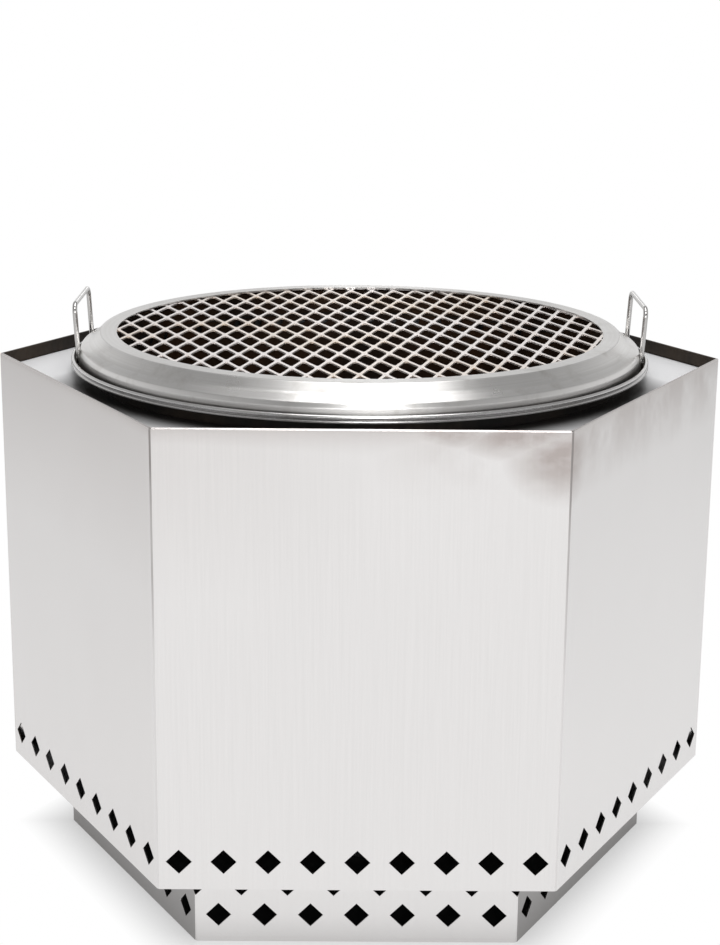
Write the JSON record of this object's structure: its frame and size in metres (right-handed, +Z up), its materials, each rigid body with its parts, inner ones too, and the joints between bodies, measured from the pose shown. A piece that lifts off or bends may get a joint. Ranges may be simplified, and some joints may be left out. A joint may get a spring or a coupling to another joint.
{
  "type": "smokeless fire pit",
  "caption": "Hexagonal stainless smokeless fire pit: bent-sheet surround on a vented base, lift-out double-walled burn drum with grate and ash pan, and a lift-off grill ring with wire handles.",
  "frame": {"origin": "on the ground, on the vertical axis of the burn drum", "axes": "+Z up, one flat face of the surround looks along -Y, and the corners with the sheet seams and the two handles are at +X and -X"},
  "size_m": [0.6898, 0.5976, 0.5449],
  "materials": {
    "casing": "satin stainless sheet",
    "shelf": "smooth satin stainless sheet",
    "turned": "turned and brushed stainless, fine lines round the axis",
    "polished": "polished stainless",
    "grille": "expanded stainless mesh, slightly straw-coloured",
    "heated_sheet": "stainless darkened by heat and soot",
    "plain_sheet": "plain mill-finish sheet",
    "fastener": "plain steel"
  },
  "bodies": {
    "surround": {"casing_front": "casing", "casing_rear": "casing", "base_front": "casing", "base_rear": "casing", "shelf_plate": "shelf", "shelf_collar": "shelf", "floor_tray": "plain_sheet", "shelf_bracket_1": "plain_sheet", "tray_bolt_1": "fastener", "tray_nut_1": "fastener", "shelf_bracket_2": "plain_sheet", "tray_bolt_2": "fastener", "tray_nut_2": "fastener", "shelf_bracket_3": "plain_sheet", "tray_bolt_3": "fastener", "tray_nut_3": "fastener", "shelf_bracket_4": "plain_sheet", "tray_bolt_4": "fastener", "tray_nut_4": "fastener", "shelf_bracket_5": "plain_sheet", "tray_bolt_5": "fastener", "tray_nut_5": "fastener", "shelf_bracket_6": "plain_sheet", "tray_bolt_6": "fastener", "tray_nut_6": "fastener", "casing_rivet_left_1": "fastener", "casing_rivet_left_2": "fastener", "casing_rivet_left_3": "fastener", "base_rivet_left_1": "fastener", "casing_rivet_right_1": "fastener", "casing_rivet_right_2": "fastener", "casing_rivet_right_3": "fastener", "base_rivet_right_1": "fastener"},
    "burn_drum": {"drum_outer_wall": "plain_sheet", "drum_floor": "plain_sheet", "drum_inner_wall": "heated_sheet", "grate_ledge": "heated_sheet", "drum_rim": "polished"},
    "grill_lid": {"grill_ring": "turned", "grille": "grille", "grille_collar": "heated_sheet", "handle_right": "polished", "handle_left": "polished"},
    "ash_pan": {"ash_pan": "heated_sheet"},
    "fire_grate": {"fire_grate": "heated_sheet"}
  },
  "joints": [
    {"name": "burn_drum_lift", "type": "slide", "parent": "surround", "child": "burn_drum", "axis": [0, 0, 1], "range_m": [0, 0.4]},
    {"name": "grill_lid_lift", "type": "slide", "parent": "burn_drum", "child": "grill_lid", "axis": [0, 0, 1], "range_m": [0, 0.15]},
    {"name": "ash_pan_lift", "type": "slide", "parent": "burn_drum", "child": "ash_pan", "axis": [0, 0, 1], "range_m": [0, 0.2]},
    {"name": "fire_grate_lift", "type": "slide", "parent": "ash_pan", "child": "fire_grate", "axis": [0, 0, 1], "range_m": [0, 0.1]}
  ]
}
